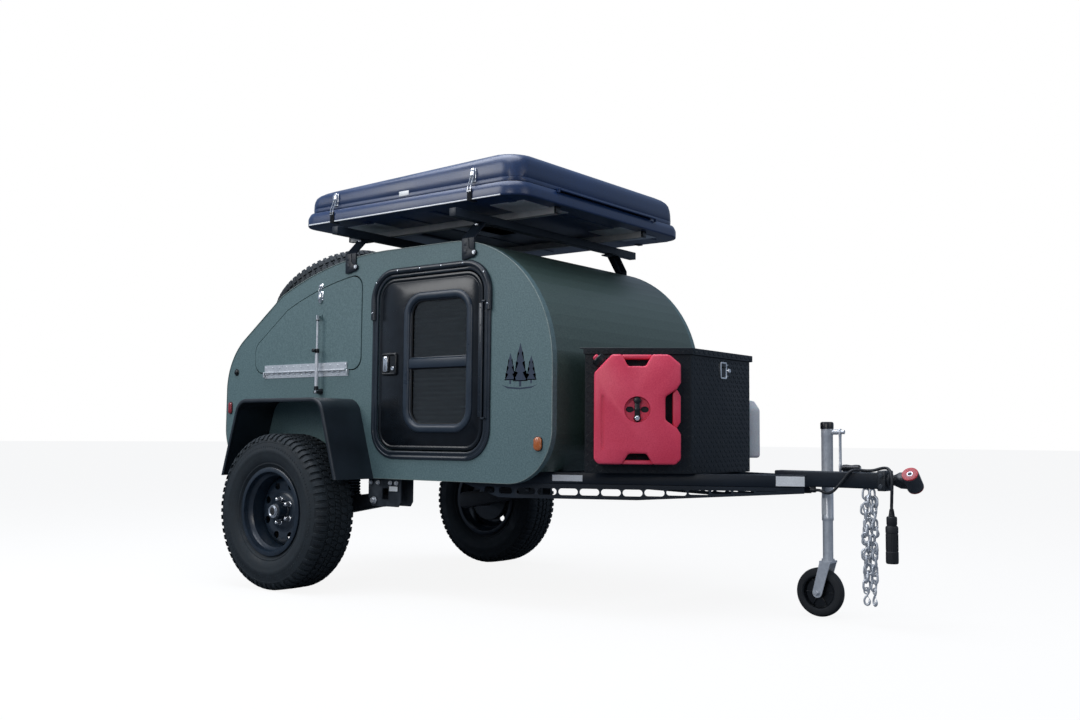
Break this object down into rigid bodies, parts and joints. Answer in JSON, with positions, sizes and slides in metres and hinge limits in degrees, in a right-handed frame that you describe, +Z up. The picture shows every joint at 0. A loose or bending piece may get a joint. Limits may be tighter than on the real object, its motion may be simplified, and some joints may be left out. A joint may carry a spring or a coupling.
{
  "type": "teardrop camping trailer",
  "caption": "Off-road teardrop camping trailer with roof tent, galley hatch, tongue box, spare wheel, side doors and jockey-wheel jack.",
  "frame": {"origin": "on the ground, midway along the overall length and on the centreline", "axes": "+X forwards to the tow eye, +Y to the left side, +Z up"},
  "size_m": [3.5966, 1.795, 1.997],
  "materials": {
    "side_rails": "satin black powder coat",
    "crossmembers": "satin black powder coat",
    "drawbar_legs": "satin black powder coat",
    "truss_plates": "satin black powder coat",
    "drawbar": "satin black powder coat",
    "coupler_yoke": "satin black paint",
    "tow_eye": "satin black paint",
    "tow_bushing": "cast polyurethane",
    "floor": "coated plywood",
    "side_walls": "fine textured paint",
    "roof_skin": "fine textured paint",
    "rear_panel": "fine textured paint",
    "galley_cabinet": "varnished birch plywood",
    "rear_hatch": "fine textured paint",
    "spare_mount": "satin black paint",
    "spare_rim": "gloss black steel",
    "spare_tyre": "rubber",
    "door_frames": "semi-gloss black",
    "right_door": "gloss black",
    "left_door": "gloss black",
    "right_window": "tinted",
    "left_window": "tinted",
    "right_shade": "pleated cloth",
    "left_shade": "pleated cloth",
    "right_side_hatch": "fine textured paint",
    "left_side_hatch": "fine textured paint",
    "stay_brackets": "moulded",
    "right_stay_sleeve": "satin",
    "left_stay_sleeve": "satin",
    "right_stay_rod": "satin",
    "left_stay_rod": "satin",
    "marker_lights": "moulded lens",
    "fenders": "textured black",
    "suspension_brackets": "satin black paint",
    "trailing_arms": "satin black paint",
    "coil_springs": "satin black paint",
    "right_rim": "gloss black steel",
    "left_rim": "gloss black steel",
    "right_tyre": "rubber",
    "left_tyre": "rubber",
    "tongue_box": "black tread plate",
    "tongue_box_lid": "black tread plate",
    "fuel_can": "moulded polyethylene",
    "water_can": "moulded polyethylene",
    "rack_bars": "textured black",
    "rack_brackets": "textured black",
    "tent_rails": "satin",
    "tent_tray": "gloss shell",
    "tent_mattress": "quilted cloth",
    "tent_lid": "gloss shell",
    "jack_tube": "zinc plated",
    "jack_leg": "zinc plated",
    "jockey_fork": "zinc plated",
    "jockey_wheel": "solid rubber",
    "safety_chains": "zinc plated",
    "cable_clip": "moulded",
    "trailer_cable": "sheath",
    "trailer_plug": "moulded"
  },
  "bodies": {
    "chassis": {"side_rails": "side_rails", "crossmembers": "crossmembers", "drawbar_legs": "drawbar_legs", "truss_plates": "truss_plates", "drawbar": "drawbar", "coupler_yoke": "coupler_yoke", "floor": "floor", "side_walls": "side_walls", "roof_skin": "roof_skin", "rear_panel": "rear_panel", "galley_cabinet": "galley_cabinet", "door_frames": "door_frames", "stay_brackets": "stay_brackets", "marker_lights": "marker_lights", "fenders": "fenders", "suspension_brackets": "suspension_brackets", "trailing_arms": "trailing_arms", "coil_springs": "coil_springs", "tongue_box": "tongue_box", "fuel_can": "fuel_can", "water_can": "water_can", "rack_bars": "rack_bars", "rack_brackets": "rack_brackets", "tent_rails": "tent_rails", "tent_tray": "tent_tray", "tent_mattress": "tent_mattress", "jack_tube": "jack_tube", "safety_chains": "safety_chains", "cable_clip": "cable_clip", "trailer_cable": "trailer_cable", "trailer_plug": "trailer_plug"},
    "right_wheel": {"right_rim": "right_rim", "right_tyre": "right_tyre"},
    "left_wheel": {"left_rim": "left_rim", "left_tyre": "left_tyre"},
    "right_door": {"right_door": "right_door", "right_window": "right_window", "right_shade": "right_shade"},
    "left_door": {"left_door": "left_door", "left_window": "left_window", "left_shade": "left_shade"},
    "right_side_hatch": {"right_side_hatch": "right_side_hatch"},
    "left_side_hatch": {"left_side_hatch": "left_side_hatch"},
    "right_stay_sleeve": {"right_stay_sleeve": "right_stay_sleeve"},
    "left_stay_sleeve": {"left_stay_sleeve": "left_stay_sleeve"},
    "right_stay_rod": {"right_stay_rod": "right_stay_rod"},
    "left_stay_rod": {"left_stay_rod": "left_stay_rod"},
    "rear_hatch": {"rear_hatch": "rear_hatch", "spare_mount": "spare_mount", "spare_rim": "spare_rim", "spare_tyre": "spare_tyre"},
    "tongue_box_lid": {"tongue_box_lid": "tongue_box_lid"},
    "tent_lid": {"tent_lid": "tent_lid"},
    "jack_leg": {"jack_leg": "jack_leg"},
    "jockey_fork": {"jockey_fork": "jockey_fork"},
    "jockey_wheel": {"jockey_wheel": "jockey_wheel"},
    "tow_eye": {"tow_eye": "tow_eye", "tow_bushing": "tow_bushing"}
  },
  "joints": [
    {"name": "right_wheel_spin", "type": "hinge", "parent": "chassis", "child": "right_wheel", "pos_m": [-0.95863, -0.78, 0.3665], "axis": [0, 1, 0], "continuous": true},
    {"name": "right_door_swing", "type": "hinge", "parent": "chassis", "child": "right_door", "pos_m": [0.11937, -0.624, 1.06], "axis": [0, 0, 1], "range_deg": [0, 105]},
    {"name": "right_side_hatch_fold", "type": "hinge", "parent": "chassis", "child": "right_side_hatch", "pos_m": [-1.03863, -0.618, 1.041], "axis": [1, 0, 0], "range_deg": [0, 90]},
    {"name": "right_stay_swing", "type": "hinge", "parent": "chassis", "child": "right_stay_sleeve", "pos_m": [-0.92263, -0.64, 0.934], "axis": [1, 0, 0], "range_deg": [0, 71.1]},
    {"name": "right_stay_slide", "type": "slide", "parent": "right_stay_sleeve", "child": "right_stay_rod", "axis": [0, 0, 1], "range_m": [-0.1154, 0]},
    {"name": "left_wheel_spin", "type": "hinge", "parent": "chassis", "child": "left_wheel", "pos_m": [-0.95863, 0.78, 0.3665], "axis": [0, 1, 0], "continuous": true},
    {"name": "left_door_swing", "type": "hinge", "parent": "chassis", "child": "left_door", "pos_m": [0.11937, 0.624, 1.06], "axis": [0, 0, -1], "range_deg": [0, 105]},
    {"name": "left_side_hatch_fold", "type": "hinge", "parent": "chassis", "child": "left_side_hatch", "pos_m": [-1.03863, 0.618, 1.041], "axis": [-1, 0, 0], "range_deg": [0, 90]},
    {"name": "left_stay_swing", "type": "hinge", "parent": "chassis", "child": "left_stay_sleeve", "pos_m": [-0.92263, 0.64, 0.934], "axis": [-1, 0, 0], "range_deg": [0, 71.1]},
    {"name": "left_stay_slide", "type": "slide", "parent": "left_stay_sleeve", "child": "left_stay_rod", "axis": [0, 0, 1], "range_m": [-0.1154, 0]},
    {"name": "rear_hatch_lift", "type": "hinge", "parent": "chassis", "child": "rear_hatch", "pos_m": [-0.86263, 0, 1.56034], "axis": [0, 1, 0], "range_deg": [0, 34]},
    {"name": "tongue_box_lid_lift", "type": "hinge", "parent": "chassis", "child": "tongue_box_lid", "pos_m": [0.56837, 0, 1.077], "axis": [0, -1, 0], "range_deg": [0, 80]},
    {"name": "tent_lid_lift", "type": "hinge", "parent": "chassis", "child": "tent_lid", "pos_m": [0.36837, 0, 1.812], "axis": [0, 1, 0], "range_deg": [0, 60]},
    {"name": "jack_slide", "type": "slide", "parent": "chassis", "child": "jack_leg", "axis": [0, 0, 1], "range_m": [-0.1, 0.15]},
    {"name": "jockey_caster", "type": "hinge", "parent": "jack_leg", "child": "jockey_fork", "pos_m": [1.37737, 0.105, 0.23], "axis": [0, 0, 1], "continuous": true},
    {"name": "jockey_wheel_spin", "type": "hinge", "parent": "jockey_fork", "child": "jockey_wheel", "pos_m": [1.34337, 0.105, 0.1], "axis": [0, 1, 0], "continuous": true},
    {"name": "coupler_roll", "type": "hinge", "parent": "chassis", "child": "tow_eye", "pos_m": [1.70137, 0, 0.57], "axis": [1, 0, 0], "continuous": true}
  ],
  "couplings": [
    {"joint": "right_stay_swing", "follows": "right_side_hatch_fold", "ratio": 0.78414},
    {"joint": "right_stay_slide", "follows": "right_side_hatch_fold", "m_per_rad": -0.072861},
    {"joint": "left_stay_swing", "follows": "left_side_hatch_fold", "ratio": 0.78414},
    {"joint": "left_stay_slide", "follows": "left_side_hatch_fold", "m_per_rad": -0.072861}
  ]
}
